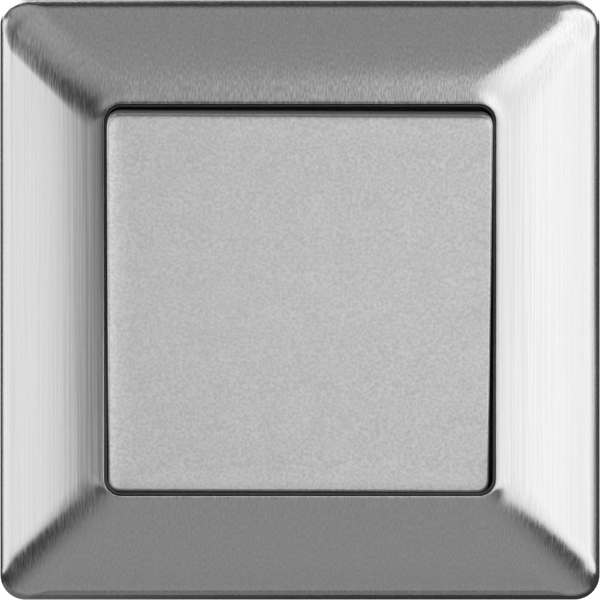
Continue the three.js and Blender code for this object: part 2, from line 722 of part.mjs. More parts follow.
// The claw bears on the housing's side. Its screw draws the foot forward, and the toothed tail swings out.
function claw() {
  const { pivotX, pivotY, footEnd, tail, sheet, width, tooth } = CLAW;
  const [front, back] = [pivotY - sheet / 2, pivotY + sheet / 2];
  const profile = outline([
    [pivotX - sheet / 2, front],
    [footEnd, front],
    [footEnd, tail - 2],
    [footEnd + 1, tail],
    [footEnd, tail + 0.4],
    [footEnd - sheet, tail - 1.6],
    [footEnd - sheet, back],
    [pivotX - sheet / 2, back],
  ]);
  const toothGap = (z) =>
    box(footEnd - 3, footEnd + 3, tail - 2.6, tail + 2, z - tooth / 2, z + tooth / 2);
  // The hole is longer than it is wide, because the claw swings round the screw.
  const { x, shank } = CLAW_SCREW;
  const halfZ = shank + 0.35;
  const hole = box(x - shank - 0.25, x + shank + 0.95, front - 1, back + 1, -halfZ, halfZ);
  return cut(slabZ(profile, -width / 2, width / 2), hole, toothGap(-tooth), toothGap(tooth));
}

const clawScrew = (x) => panScrew({ ...CLAW_SCREW, x, z: 0, under: -YOKE.sheet - 0.1 });

// ---- The switch ---------------------------------------------------------------------------------

const wallSwitch = new THREE.Group();
wallSwitch.add(
  piece("cover_frame", coverFrame, brushedSteel),
  piece("frame_carrier", frameCarrier, blackPlastic),
  rockerGroup,
  piece("support_yoke", yoke, zincSteel),
  piece("housing_lid", housingLid, whitePlastic),
  piece("housing_base", housingBase, greyPlastic),
  ...housingScrews,
  ...terminals,
  bladeGroup,
  piece("right_claw", claw(), zincSteel),
  piece("left_claw", claw().rotate([0, 180, 0]), zincSteel),
  piece("right_claw_screw", clawScrew(CLAW_SCREW.x), zincSteel),
  piece("left_claw_screw", clawScrew(-CLAW_SCREW.x), zincSteel),
);

export default wallSwitch;
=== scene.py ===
import bmesh
import bpy
import math
from mathutils import Matrix, Vector


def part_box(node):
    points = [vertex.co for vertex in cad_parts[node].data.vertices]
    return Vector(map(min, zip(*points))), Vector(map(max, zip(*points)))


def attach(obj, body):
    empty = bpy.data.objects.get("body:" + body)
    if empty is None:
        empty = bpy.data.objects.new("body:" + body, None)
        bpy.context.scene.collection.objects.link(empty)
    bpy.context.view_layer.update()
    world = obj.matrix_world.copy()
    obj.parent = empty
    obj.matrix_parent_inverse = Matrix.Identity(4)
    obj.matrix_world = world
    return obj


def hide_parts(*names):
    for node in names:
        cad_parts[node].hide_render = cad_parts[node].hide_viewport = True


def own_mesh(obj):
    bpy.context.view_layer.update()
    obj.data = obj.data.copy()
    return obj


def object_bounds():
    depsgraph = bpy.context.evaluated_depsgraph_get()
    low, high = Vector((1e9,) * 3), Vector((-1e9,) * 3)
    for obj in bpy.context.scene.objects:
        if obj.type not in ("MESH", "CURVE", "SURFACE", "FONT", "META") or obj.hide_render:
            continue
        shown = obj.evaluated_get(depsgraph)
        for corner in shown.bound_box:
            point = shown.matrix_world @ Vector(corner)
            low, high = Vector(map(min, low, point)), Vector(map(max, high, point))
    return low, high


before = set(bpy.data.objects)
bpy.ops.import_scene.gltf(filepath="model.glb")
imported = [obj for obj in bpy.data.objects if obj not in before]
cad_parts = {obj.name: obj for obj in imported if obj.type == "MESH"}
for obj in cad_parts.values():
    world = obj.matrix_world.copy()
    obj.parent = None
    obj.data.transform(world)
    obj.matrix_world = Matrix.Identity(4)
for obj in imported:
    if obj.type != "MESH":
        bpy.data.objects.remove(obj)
cad_low, cad_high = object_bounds()
MM = 0.001  # lengths below are in millimetres, and each finished mesh is scaled by this

# ---- Support yoke --------------------------------------------------------------------------------
# The plate that lies on the wall and carries everything is stamped from 1 mm steel, with keyhole slots
# for the box screws and two sides folded forward for the cover to grip. It is bright zinc-plated.


def extent(node):
    """A node's lowest and highest corners, in millimetres."""
    return [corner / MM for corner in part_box(node)]


def rounded(width, height, corner, a=0, b=0, steps=8):
    """The outline of a rounded rectangle about (a, b)."""
    points = []
    for quarter, (side_a, side_b) in enumerate([(1, 1), (-1, 1), (-1, -1), (1, -1)]):
        for step in range(steps + 1):
            angle = (quarter + step / steps) * math.pi / 2
            across = side_a * (width / 2 - corner) + corner * math.cos(angle)
            up = side_b * (height / 2 - corner) + corner * math.sin(angle)
            points.append((a + across, b + up))
    return points


def disc(radius, a=0, b=0, sides=40):
    """The outline of a circle about (a, b)."""
    turns = [2 * math.pi * i / sides for i in range(sides)]
    return [(a + radius * math.cos(t), b + radius * math.sin(t)) for t in turns]


def loft(sections, closed=False):
    """A bmesh skin through sections of equal length, closed on itself or capped at both ends."""
    mesh = bmesh.new()
    loops = [[mesh.verts.new(point) for point in section] for section in sections]
    for here, there in zip(loops, loops[1:] + loops[:1] if closed else loops[1:]):
        for i in range(len(here)):
            j = (i + 1) % len(here)
            mesh.faces.new((here[i], here[j], there[j], there[i]))
    if not closed:
        mesh.faces.new(loops[0])
        mesh.faces.new(loops[-1])
    bmesh.ops.recalc_face_normals(mesh, faces=mesh.faces)
    return mesh


def prism(outline, along, start, end):
    """An outline extruded along an axis. It is drawn in (x, z) for Y, (y, z) for X and (x, y) for Z."""
    order = {"X": (2, 0, 1), "Y": (0, 2, 1), "Z": (0, 1, 2)}[along]
    return loft([[[(a, b, c)[i] for i in order] for a, b in outline] for c in (start, end)])


def bent(path, radius, thickness, steps=6):
    """The edge-on outline of a sheet of that thickness, folded along a path with that inner radius."""
    corners = [Vector(point) for point in path]
    line = [corners[0]]
    for before, here, after in zip(corners, corners[1:], corners[2:]):
        into, out = (here - before).normalized(), (after - here).normalized()
        turn = math.atan2(into.cross(out), into.dot(out))
        middle = radius + thickness / 2
        start = here - into * middle * math.tan(abs(turn) / 2)
        centre = start + into.orthogonal() * math.copysign(middle, turn)
        line += [centre + Matrix.Rotation(turn * i / steps, 2) @ (start - centre) for i in range(steps + 1)]
    line.append(corners[-1])
    ways = [(b - a).normalized() for a, b in zip(line, line[1:])]
    between = [(a + b).normalized() for a, b in zip(ways[:1] + ways, ways + ways[-1:])]
    sides = [way.orthogonal() * thickness / 2 for way in between]
    return [tuple(p + s) for p, s in zip(line, sides)] + [tuple(p - s) for p, s in zip(line, sides)][::-1]


def linked(name, data):
    """A mesh as an object of the scene."""
    made = bpy.data.objects.new(name, data)
    bpy.context.scene.collection.objects.link(made)
    return made


def evaluated(piece):
    """A piece's mesh with its modifiers taken up into it."""
    bpy.context.view_layer.update()
    return bpy.data.meshes.new_from_object(piece.evaluated_get(bpy.context.evaluated_depsgraph_get()))


def worked(solids, cuts=(), added=(), edge=0.0):
    """Mesh data of solids joined, with the cuts taken away, more solids added and sharp edges rounded."""
    work = (("UNION", solids), ("DIFFERENCE", cuts), ("UNION", added))
    steps = [(operation, mesh) for operation, meshes in work for mesh in meshes]
    blanks = []
    for operation, mesh in steps:
        data = bpy.data.meshes.new("blank")
        mesh.to_mesh(data)
        mesh.free()
        blanks.append(linked("blank", data))
        if len(blanks) > 1:
            step = blanks[0].modifiers.new("step", "BOOLEAN")
            step.operation = operation
            step.solver = "MANIFOLD"
            step.object = blanks[-1]
    if edge:
        rounding = blanks[0].modifiers.new("edges", "BEVEL")
        rounding.width = edge
        rounding.segments = 2
        rounding.angle_limit = math.radians(38)
        rounding.use_clamp_overlap = False
        rounding.harden_normals = True
    data = evaluated(blanks[0])
    for blank in blanks:
        bpy.data.objects.remove(blank)
    return data


def rough_cut(solids, cuts):
    """A bmesh of solids joined with the cuts taken away, to be worked further."""
    mesh = bmesh.new()
    mesh.from_mesh(worked(solids, cuts))
    return mesh


def fused(name, solids, cuts=(), added=(), edge=0.12, seat=Matrix.Identity(4)):
    """A finished piece in metres: solids joined, cut, added to and rounded, and put in its place."""
    data = worked(solids, cuts, added, edge)
    data.transform(Matrix.Scale(MM, 4) @ seat)
    return linked(name, data)


def linear(hex_colour):
    """An sRGB hex colour, such as "#8a8a8a", as the linear RGBA that the nodes take."""
    values = [int(hex_colour[i : i + 2], 16) / 255 for i in (1, 3, 5)]
    return [v / 12.92 if v <= 0.04045 else ((v + 0.055) / 1.055) ** 2.4 for v in values] + [1.0]


def add(tree, kind, links=None, **settings):
    """Adds a node. links maps an input to a socket or a value; settings are the node's properties."""
    node = tree.nodes.new(kind)
    for key, value in settings.items():
        setattr(node, key, value)
    for key, value in (links or {}).items():
        if isinstance(value, bpy.types.NodeSocket):
            tree.links.new(value, node.inputs[key])
        else:
            node.inputs[key].default_value = value
    return node


def finish(
    name, colours, roughness, per_mm, stretch=(1, 1, 1), relief=(0.2, 0.01), cloud=0.4, **shader_values
):
    """A Principled material mottled by noise, per_mm grains to the millimetre and drawn out by stretch.

    colours and roughness go from the grain's low spots to its high ones. relief is the bump's strength
    and its height in millimetres. cloud is the share of broad patches, ten times the grain.
    """
    made = bpy.data.materials.new(name)
    made.use_nodes = True
    tree = made.node_tree
    shader = tree.nodes["Principled BSDF"]
    for key, value in shader_values.items():
        shader.inputs[key.replace("_", " ")].default_value = value
    place = add(tree, "ShaderNodeTexCoord").outputs["Object"]
    scale = [per_mm / MM / s for s in stretch]
    grain = add(tree, "ShaderNodeMapping", {"Vector": place, "Scale": scale}).outputs[0]
    fine = add(tree, "ShaderNodeTexNoise", {"Vector": grain, "Scale": 1.0, "Detail": 3.0}).outputs[0]
    patches = add(tree, "ShaderNodeTexNoise", {"Vector": grain, "Scale": 0.1, "Detail": 2.0}).outputs[0]
    both = add(tree, "ShaderNodeMix", {0: cloud, 2: fine, 3: patches}).outputs[0]
    spread = add(tree, "ShaderNodeMapRange", {"Value": both, "From Min": 0.35, "From Max": 0.65}).outputs[0]
    tints = {0: spread, 6: linear(colours[0]), 7: linear(colours[1])}
    tint = add(tree, "ShaderNodeMix", tints, data_type="RGBA").outputs[2]
    tree.links.new(tint, shader.inputs["Base Color"])
    gloss = {"Value": spread, "To Min": roughness[0], "To Max": roughness[1]}
    tree.links.new(add(tree, "ShaderNodeMapRange", gloss).outputs[0], shader.inputs["Roughness"])
    bump = {"Height": fine, "Strength": relief[0], "Distance": relief[1] * MM}
    tree.links.new(add(tree, "ShaderNodeBump", bump).outputs[0], shader.inputs["Normal"])
    return made


def install(piece, coat, slot, body, *nodes):
    """Gives a piece its material, and says which nodes it stands for and what it rides on. slot is not
    used.
    """
    piece.data.materials.clear()
    piece.data.materials.append(coat)
    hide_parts(*nodes)
    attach(piece, body)


# Zinc plate: a cool bright metal with faint cloudy patches over the sheet's rolling grain.
zinc = finish(
    "zinc_plated_steel", ("#bbbfc3", "#cccfd3"), (0.24, 0.36), 9, (1, 1, 3), (0.12, 0.006), Metallic=1.0
)

yoke_low, yoke_high = extent("support_yoke")
YOKE = yoke_high.x
YOKE_SHEET = 1.0
FOLD = 22.0  # half length of the folded sides
SCREW_AT = 17.3  # the housing's screws, from the centre both ways
SCREW_PLACES = [(x, z) for x in (-SCREW_AT, SCREW_AT) for z in (-SCREW_AT, SCREW_AT)]
CLAW_SCREW_AT = 24.5
BOX_SCREW_AT = 30.0
RELIEF_RADIUS, RELIEF_DEPTH = 31.0, 0.25  # a shallow round step in the plate's back
half_sheet = YOKE_SHEET / 2
fold_path = [(YOKE - 3, -half_sheet), (YOKE - half_sheet, -half_sheet), (YOKE - half_sheet, yoke_low.y)]


def mirrored(outline):
    return [(-a, b) for a, b in outline]


def punch(outline):
    """A cut right through the yoke."""
    return prism(outline, "Y", -2, 1)


def quarter_turned(outline, quarters):
    """An outline in (x, z) turned about Y by that many right angles."""
    for _ in range(quarters):
        outline = [(b, -a) for a, b in outline]
    return outline


fold = bent(fold_path, 0.5, YOKE_SHEET)
yoke_cuts = [
    punch(rounded(38.4, 29.2, 1.5)),
    prism(disc(RELIEF_RADIUS, sides=96), "Y", -RELIEF_DEPTH, 1),
    *[punch(disc(1.5, x, z)) for x, z in SCREW_PLACES],
    *[punch(disc(1.9, x, 0)) for x in (-CLAW_SCREW_AT, CLAW_SCREW_AT)],
]
for quarters in range(4):
    # Each keyhole is a slot for the screw's shank, with a round entry for its head at one end.
    for outline in (rounded(9, 3.8, 1.88, 0, BOX_SCREW_AT), disc(3.1, 4.2, BOX_SCREW_AT + 1.3)):
        yoke_cuts.append(punch(quarter_turned(outline, quarters)))
for side in (1, -1):
    # The sheet is notched at each end of the fold, so that it bends without tearing.
    clear = YOKE - 2.5
    outline = [(clear, -FOLD), (YOKE + 1, -FOLD), (YOKE + 1, FOLD), (clear, FOLD)]
    yoke_cuts.append(punch([(side * a, b) for a, b in outline]))
    for end in (1, -1):
        yoke_cuts.append(punch(disc(0.8, side * (YOKE - 1.2), end * (FOLD + 0.2), 24)))
    # A small V in the top and bottom edges marks the middle.
    notch = [(-1.2, side * (YOKE + 1)), (1.2, side * (YOKE + 1)), (0, side * (YOKE - 1.2))]
    yoke_cuts.append(punch(notch))
folds = [prism(fold, "Z", -FOLD, FOLD), prism(mirrored(fold), "Z", -FOLD, FOLD)]
plate = prism(rounded(2 * YOKE, 2 * YOKE, 3), "Y", -YOKE_SHEET, 0)
yoke = fused("yoke_plate", [plate], yoke_cuts, folds, 0.1)
install(yoke, zinc, "zinc_plated_steel", "root", "support_yoke")

# ---- Mechanism housing ---------------------------------------------------------------------------
# The grey box behind the yoke is moulded in a glass-filled thermoset. Its rear has funnels for the
# wires beside square holes for the release levers, and its top and bottom walls are ribbed.


def node_group(name, **kinds):
    """A Geometry Nodes tree that takes a blank, a coat and inputs of those kinds, and its input sockets."""
    tree = bpy.data.node_groups.new(name, "GeometryNodeTree")
    for socket, kind in {"Blank": "Geometry", **kinds, "Coat": "Material"}.items():
        tree.interface.new_socket(socket, in_out="INPUT", socket_type="NodeSocket" + kind)
    tree.interface.new_socket("Made", in_out="OUTPUT", socket_type="NodeSocketGeometry")
    return tree, add(tree, "NodeGroupInput").outputs


def deliver(tree, geometry, coat):
    """The tree, ended: its geometry is made real, given its material and passed out."""
    real = add(tree, "GeometryNodeRealizeInstances", {"Geometry": geometry}).outputs[0]
    coated = add(tree, "GeometryNodeSetMaterial", {"Geometry": real, "Material": coat}).outputs[0]
    tree.links.new(coated, add(tree, "NodeGroupOutput").inputs[0])
    return tree


def reckon(tree, operation, *values):
    """The output of a Math node that works on those values or sockets."""
    return add(tree, "ShaderNodeMath", dict(enumerate(values)), operation=operation).outputs[0]


def set_out_tree():
    """Geometry Nodes that lay a blank out in a row, and lay the row out in turns about Y."""
    tree, given = node_group("set_out", Count="Int", Start="Vector", Step="Vector", Turns="Int")
    places = {"Count": given["Count"], "Start Location": given["Start"], "Offset": given["Step"]}
    line = add(tree, "GeometryNodeMeshLine", places).outputs[0]
    in_line = {"Points": line, "Instance": given["Blank"]}
    row = add(tree, "GeometryNodeInstanceOnPoints", in_line).outputs[0]
    hub = add(tree, "GeometryNodeMeshLine", {"Count": given["Turns"], "Offset": (0, 0, 0)}).outputs[0]
    share = reckon(tree, "DIVIDE", math.tau, given["Turns"])
    index = add(tree, "GeometryNodeInputIndex").outputs[0]
    turn = add(tree, "ShaderNodeCombineXYZ", {"Y": reckon(tree, "MULTIPLY", share, index)}).outputs[0]
    about_hub = {"Points": hub, "Instance": row, "Rotation": turn}
    return deliver(tree, add(tree, "GeometryNodeInstanceOnPoints", about_hub).outputs[0], given["Coat"])


def run_nodes(blank, tree, **values):
    """The mesh that a Geometry Nodes tree makes of a blank, with the tree's named inputs set."""
    step = blank.modifiers.new("nodes", "NODES")
    step.node_group = tree
    for socket in tree.interface.items_tree:
        if socket.name in values:
            step[socket.identifier] = values[socket.name]
    data = evaluated(blank)
    bpy.data.objects.remove(blank)
    return data


set_out = set_out_tree()


def repeated(mesh, coat, count, step, turns=1):
    """A bmesh set out in a centred row, count times, step apart, and the row turned about Y."""
    data = bpy.data.meshes.new("blank")
    mesh.to_mesh(data)
    mesh.free()
    start = [-0.5 * (count - 1) * s for s in step]
    layout = {"Count": count, "Start": start, "Step": step, "Turns": turns, "Coat": coat}
    data = run_nodes(linked("blank", data), set_out, **layout)
    row = bmesh.new()
    row.from_mesh(data)
    return row


def turned(profile, x=0, z=0, sides=40):
    """A round solid about a line along Y, from (radius, y) pairs."""
    return loft([[(px, y, pz) for px, pz in disc(radius, x, z, sides)] for radius, y in profile])


def shell(sections, steps=8, closed=False):
    """A skin through rounded squares given as (half size, corner, y), closed on itself or capped."""
    outlines = [(y, rounded(2 * half, 2 * half, corner, steps=steps)) for half, corner, y in sections]
    return loft([[(x, y, z) for x, z in outline] for y, outline in outlines], closed)


# Moulded plastics: a fine spark-eroded grain that breaks up the shine, with slightly cloudy colour.
grey_thermoset = finish(
    "moulded_grey_thermoset", ("#7e8386", "#969b9e"), (0.48, 0.62), 4, relief=(0.35, 0.02), IOR=1.5
)

base_low, base_high = extent("housing_base")
HOUSING, HOUSING_FRONT, HOUSING_BACK = base_high.x, base_low.y, base_high.y
HOUSING_WALL = 1.7
PILLAR, PILOT = 2.9, 1.4  # radii of the screws' pillars and of the holes down them
# Each terminal's height, and whether it is turned round to the left.
TERMINALS = {"common": (0, True), "upper": (10.5, False), "lower": (-10.5, False)}
WIRE_AT, LEVER_AT = 14.9, 11.6


def placed(mesh, terminal):
    """A bmesh drawn for a terminal at the right, at z = 0, moved to one of the three terminals."""
    height, to_left = TERMINALS[terminal]
    mesh.transform(Matrix.Translation((0, 0, height)) @ Matrix.Rotation(math.pi if to_left else 0, 4, "Y"))
    return mesh


back = HOUSING_BACK
rolled_edge = [(HOUSING, 2.5, back - 1.2), (HOUSING - 0.35, 2.2, back - 0.35), (HOUSING - 1.2, 1.6, back)]
bore = 2 * (HOUSING - HOUSING_WALL)
inside = prism(rounded(bore, bore, 1), "Y", 0, back - HOUSING_WALL)
inner_parts = [prism(disc(PILLAR, x, z, 32), "Y", HOUSING_FRONT, back - 1) for x, z in SCREW_PLACES]
holes = [prism(disc(PILOT, x, z, 24), "Y", 0, 10.5) for x, z in SCREW_PLACES]
for terminal in TERMINALS:
    inner_parts.append(placed(prism(rounded(9, 4, 0.5, 2.5, 0), "Y", 14.3, back - 1), terminal))
    funnel = [(1.5, back - 4), (1.5, back - 1.1), (1.7, back - 0.7), (2.1, back - 0.3), (2.9, back + 0.2)]
    wire_hole = turned(funnel, WIRE_AT, 0)
    lever_hole = prism(rounded(2.9, 4.3, 0.3, LEVER_AT, 0), "Y", back - 4, back + 1)
    sunk_panel = prism(rounded(9.6, 6.6, 1.2, WIRE_AT - 1.6, 0), "Y", back - 0.3, back + 1)
    holes += [placed(cut, terminal) for cut in (wire_hole, lever_hole, sunk_panel)]
# A shallow groove shows how much wire to strip, and round marks are left by the mould's ejector pins.
holes.append(prism(rounded(1.4, 11, 0.69, 3, 0), "Y", back - 0.4, back + 1))
ejector_pins = [(-4, 8), (-4, -8), (-12, 12), (-12, -12)]
holes += [prism(disc(1.8, x, z, 32), "Y", back - 0.12, back + 1) for x, z in ejector_pins]
rib = prism(rounded(0.9, 15, 0.4, 0, 12.6), "Z", HOUSING - 0.3, HOUSING + 0.4)
ribs = [repeated(rib, grey_thermoset, 11, (2.8, 0, 0), 2)]
hollow = rough_cut([shell([(HOUSING, 2.5, HOUSING_FRONT), *rolled_edge])], [inside])
base = fused("housing_box", [hollow, *inner_parts], holes, ribs, 0.12)
install(base, grey_thermoset, "grey_plastic", "root", "housing_base")

# ---- Contact strips ------------------------------------------------------------------------------
# Three brass stampings, each folded up at its outer end to back a terminal. Two carry a fixed contact
# of silver, riveted on, and the common one carries the saddle that the blade rocks on.

# Stamped brass: warm and fairly bright, a little browned, with the drawing lines of the strip stock.
brass = finish(
    "stamped_brass", ("#b98f45", "#d8b368"), (0.22, 0.38), 7, (8, 1, 1), (0.15, 0.01), Metallic=1.0
)
# Fine silver: almost white, soft and slightly dulled.
silver = finish("contact_silver", ("#cfccc6", "#e4e2dd"), (0.2, 0.34), 8, Metallic=1.0)

STRIP, STRIP_SHEET = 13.4, 0.8
STRIP_END = 17.6


def strip(reach):
    path = [(-reach, STRIP + STRIP_SHEET / 2), (STRIP_END, STRIP + STRIP_SHEET / 2), (STRIP_END, 20.8)]
    return prism(bent(path, 0.7, STRIP_SHEET), "Z", -2.5, 2.5)


def strip_cuts():
    """Cuts that nose the strip's inner end and leave a hole over the housing's pillar and a slot."""
    corner = [(-6, 4), (-6, 1), (-1.6, 2.6), (-1.6, 4)]
    corners = [[(a, side * b) for a, b in corner] for side in (1, -1)]
    outlines = [disc(0.7, 5, 0, 24), rounded(1.2, 2.6, 0.5, 8.2, 0), *corners]
    return [prism(outline, "Y", 12, 16) for outline in outlines]


def symmetric(half):
    """A whole outline from the half of it whose second coordinate is positive."""
    return half + [(a, -b) for a, b in reversed(half)]


saddle = prism(symmetric([(13.6, 1.1), (11.2, 0.5), (10.7, 0.12)]), "X", -2.4, 2.4)
for terminal, reach, extra in [("common", 2.4, [saddle]), ("upper", 3.6, []), ("lower", 3.6, [])]:
    cuts = [placed(cut, terminal) for cut in strip_cuts()] if not extra else []
    solids = [placed(solid, terminal) for solid in [strip(reach), *extra]]
    made = fused(terminal + "_terminal_strip", solids, cuts, (), 0.1)
    node = "common_strip" if extra else terminal + "_contact_strip"
    install(made, brass, "brass", "root", node)


def rivet(name, dome, foot, tail, z, seat=Matrix.Identity(4)):
    """A domed contact of silver along Y, with its upset tail on the sheet's other side."""
    way = 1 if tail > dome else -1
    crown = [(0.25, 0), (0.8, 0.04), (1.25, 0.16), (1.5, 0.36)]
    upset = [(0.7, 0.3), (1.05, 0.25), (0.9, 0.05), (0.3, 0)]
    head = [(radius, dome + drop * way) for radius, drop in crown] + [(1.5, foot)]
    shank = [(0.7, foot)] + [(radius, tail - drop * way) for radius, drop in upset]
    return fused(name, [turned(head + shank, 0, z)], (), (), 0.03, seat)


for terminal in ("upper", "lower"):
    height = TERMINALS[terminal][0]
    fixed = rivet(terminal + "_fixed_rivet", 12.77, STRIP, STRIP + STRIP_SHEET + 0.3, height)
    install(fixed, silver, "contact_silver", "root", terminal + "_fixed_tip")

# ---- Wire clamps and release levers --------------------------------------------------------------
# Each wire is held by a leaf of spring steel that bites it against the strip. An orange lever, pushed
# in from behind with a screwdriver, presses the leaf off the wire again.

# Blued spring steel: smooth and dark, with the straw and blue tints of its heat treatment.
leaf_steel = finish(
    "hardened_spring_steel", ("#85888c", "#a9a59c"), (0.18, 0.3), 3, (1, 1, 6), (0.1, 0.01), Metallic=1.0
)
orange_acetal = finish(
    "moulded_orange_acetal", ("#cf6a22", "#df8034"), (0.3, 0.42), 4, relief=(0.2, 0.01), IOR=1.48
)

for terminal in TERMINALS:
    leaf = bent([(9.4, 20.8), (9.4, 14.3), (16.2, 18.6)], 0.7, 0.4)
    flank = [(11, 4), (11, 2.1), (17, 1.5), (17, 4)]
    flanks = [prism([(x, side * z) for x, z in flank], "Y", 12, 22) for side in (1, -1)]
    leg_slot = prism(rounded(2.6, 1.6, 0.4, 18.6, 0), "X", 9, 9.8)
    cuts = [placed(cut, terminal) for cut in [*flanks, leg_slot]]
    clamp = fused(terminal + "_wire_clamp", [placed(prism(leaf, "Z", -2.1, 2.1), terminal)], cuts, (), 0.06)
    install(clamp, leaf_steel, "spring_steel", "root", terminal + "_clamp_spring")

    lever_low, lever_high = extent(terminal + "_release_lever")
    front, end = lever_low.y, lever_high.y
    stem = prism(rounded(2.2, 3.6, 0.4, LEVER_AT, 0), "Y", front, end)
    collar = prism(rounded(3.2, 4.6, 0.4, LEVER_AT, 0), "Y", 20.5, 21.3)
    bevel = [(-2, front - 1), (-2, front + 1.4), (-0.3, front), (-0.3, front - 1)]
    nose = prism([(LEVER_AT + x, y) for x, y in bevel], "Z", -3, 3)
    blade_slot = prism(rounded(0.9, 2.6, 0.2, LEVER_AT, 0), "Y", end - 0.8, end + 1)
    solids = [placed(solid, terminal) for solid in (stem, collar)]
    cuts = [placed(cut, terminal) for cut in (nose, blade_slot)]
    lever = fused(terminal + "_release_key", solids, cuts, (), 0.14)
    install(lever, orange_acetal, "orange_plastic", terminal + "_lever_body", terminal + "_release_lever")

# ---- Contact blade -------------------------------------------------------------------------------
# The changeover blade is a brass strip, bent to a shallow trough, that rocks on the saddle. Its ends
# are nosed, and a silver contact is riveted near each.

BLADE_AT, BLADE_TILT, BLADE_SHEET = 10.0, 7.0, 0.8
rocked = Matrix.Translation((0, BLADE_AT, 0)) @ Matrix.Rotation(math.radians(-BLADE_TILT), 4, "X")
trough = bent([(-0.5, -12.2), (0, -3.5), (0, 3.5), (-0.5, 12.2)], 3, BLADE_SHEET)
blade_end = [(1.6, 13), (3.5, 13), (3.5, 9.6), (3, 11)]
blade_ends = [[(sx * a, sz * b) for a, b in blade_end] for sx in (1, -1) for sz in (1, -1)]
blade_cuts = [prism(outline, "Y", -3, 3) for outline in blade_ends]
blade = fused("changeover_blade", [prism(trough, "X", -3, 3)], blade_cuts, (), 0.1, rocked)
install(blade, brass, "brass", "blade_assembly", "contact_blade")
half_blade = BLADE_SHEET / 2
for end in ("upper", "lower"):
    dome, foot, tail = half_blade + 0.65, half_blade - 0.3, -half_blade - 0.7
    moving = rivet(end + "_moving_rivet", dome, foot, tail, TERMINALS[end][0], rocked)
    install(moving, silver, "contact_silver", "blade_assembly", end + "_moving_tip")

# ---- Housing lid ---------------------------------------------------------------------------------
# A white moulded cover that closes the mechanism. Two posts on it hold the cradle's trunnions, which
# snap in through a narrowed mouth, and an opening in the middle lets the plunger through.

white_polyester = finish(
    "moulded_white_polyester", ("#dddad1", "#ece9e2"), (0.38, 0.52), 4, relief=(0.25, 0.015), IOR=1.53
)

lid_low, lid_high = extent("housing_lid")
PIVOT = Vector((0, -2.2, 0))
TRUNNION = 2.0
lid_plate = prism(rounded(2 * lid_high.x, 2 * lid_high.x, 2.5), "Y", 0.3, lid_high.y)
posts, openings = [], [prism(rounded(10, 11, 2), "Y", -1, 3)]
for side in (1, -1):
    across = (side * 15.3, side * 18.8)
    beyond = (side * 14, side * 20)
    front = lid_low.y
    half_post = [(front, 2.6), (front + 0.8, 3.4), (-0.6, 4.2), (0.8, 4.2)]
    posts.append(prism(symmetric(half_post), "X", *across))
    openings.append(prism([(PIVOT.y + a, b) for a, b in disc(TRUNNION + 0.3)], "X", *beyond))
    openings.append(prism(symmetric([(front - 1, 2.6), (PIVOT.y, 1.75)]), "X", *beyond))
openings += [prism(disc(PILOT, x, z, 24), "Y", -1, 3) for x, z in SCREW_PLACES]
lid = fused("mechanism_lid", [lid_plate, *posts], openings, (), 0.15)
install(lid, white_polyester, "white_plastic", "root", "housing_lid")

# ---- Screws --------------------------------------------------------------------------------------
# Cross-recess pan-head screws of zinc-plated steel, with rolled threads. Four draw the yoke, the lid
# and the box together, and one longer, heavier screw works each claw.


def swept(tree, path, section):
    """A curve's mesh with that section, capped at both ends."""
    sweep = {"Curve": path, "Profile Curve": section, "Fill Caps": True}
    return add(tree, "GeometryNodeCurveToMesh", sweep).outputs[0]


def screw_tree():
    """Geometry Nodes that wind a thread round a screw blank and set the screw out on a grid of places."""
    sizes = dict.fromkeys(["Core", "Pitch", "Length", "Start", "Spacing"], "Float")
    tree, given = node_group("threaded_screws", **sizes, Columns="Int", Rows="Int", Seed="Int")
    turns = reckon(tree, "DIVIDE", given["Length"], given["Pitch"])
    wound = {"Resolution": 20, "Rotations": turns, "Height": given["Length"]}
    wound.update({"Start Radius": given["Core"], "End Radius": given["Core"]})
    helix = add(tree, "GeometryNodeCurveSpiral", wound).outputs[0]
    triangle = {"Resolution": 3, "Radius": reckon(tree, "MULTIPLY", given["Pitch"], 0.5)}
    thread = swept(tree, helix, add(tree, "GeometryNodeCurvePrimitiveCircle", triangle).outputs[0])
    start = add(tree, "ShaderNodeCombineXYZ", {"Y": given["Start"]}).outputs[0]
    laid = {"Geometry": thread, "Rotation": (-math.pi / 2, 0, 0), "Translation": start}
    laid = add(tree, "GeometryNodeTransform", laid).outputs[0]
    whole = add(tree, "GeometryNodeJoinGeometry")
    tree.links.new(given["Blank"], whole.inputs[0])
    tree.links.new(laid, whole.inputs[0])
    places = {"Vertices X": given["Columns"], "Vertices Y": given["Rows"]}
    places.update({"Size X": given["Spacing"], "Size Y": given["Spacing"]})
    grid = add(tree, "GeometryNodeMeshGrid", places).outputs[0]
    upended = {"Geometry": grid, "Rotation": (math.pi / 2, 0, 0)}
    upright = add(tree, "GeometryNodeTransform", upended).outputs[0]
    angle = add(tree, "FunctionNodeRandomValue", {2: 0.0, 3: math.pi / 2, "Seed": given["Seed"]}).outputs[1]
    spin = add(tree, "ShaderNodeCombineXYZ", {"Y": angle}).outputs[0]
    drive = {"Points": upright, "Instance": whole.outputs[0], "Rotation": spin}
    return deliver(tree, add(tree, "GeometryNodeInstanceOnPoints", drive).outputs[0], given["Coat"])


threaded = screw_tree()


